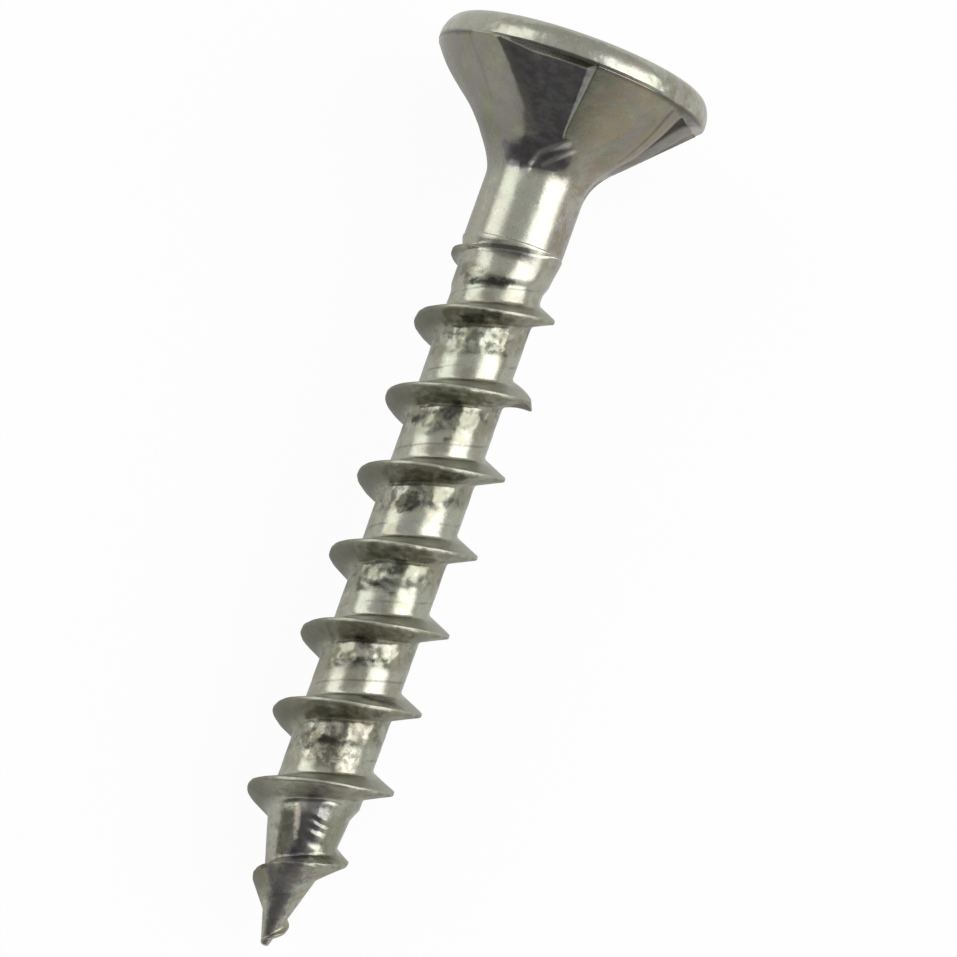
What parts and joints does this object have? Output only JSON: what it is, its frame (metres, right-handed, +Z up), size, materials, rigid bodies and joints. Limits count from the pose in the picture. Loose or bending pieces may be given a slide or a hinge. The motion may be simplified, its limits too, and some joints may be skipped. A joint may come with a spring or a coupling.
{
  "type": "multi-purpose screw",
  "caption": "Countersunk wood screw with a coarse single-start thread, sharp point, short smooth shank, milling pockets under the head and a six-lobe recess.",
  "frame": {"origin": "on the ground under the middle of the screw, which lies as it comes to rest on its rim and its thread", "axes": "+X from the point towards the head, +Z up; the screw's own axis rises 5.6 degrees towards the head"},
  "size_m": [0.0302, 0.009, 0.0089],
  "materials": {
    "zinc_steel": "bright zinc plated steel, with soft blotches, drawn lines on the thread and light scuffs"
  },
  "bodies": {
    "root": {"screw": "zinc_steel"}
  },
  "joints": []
}
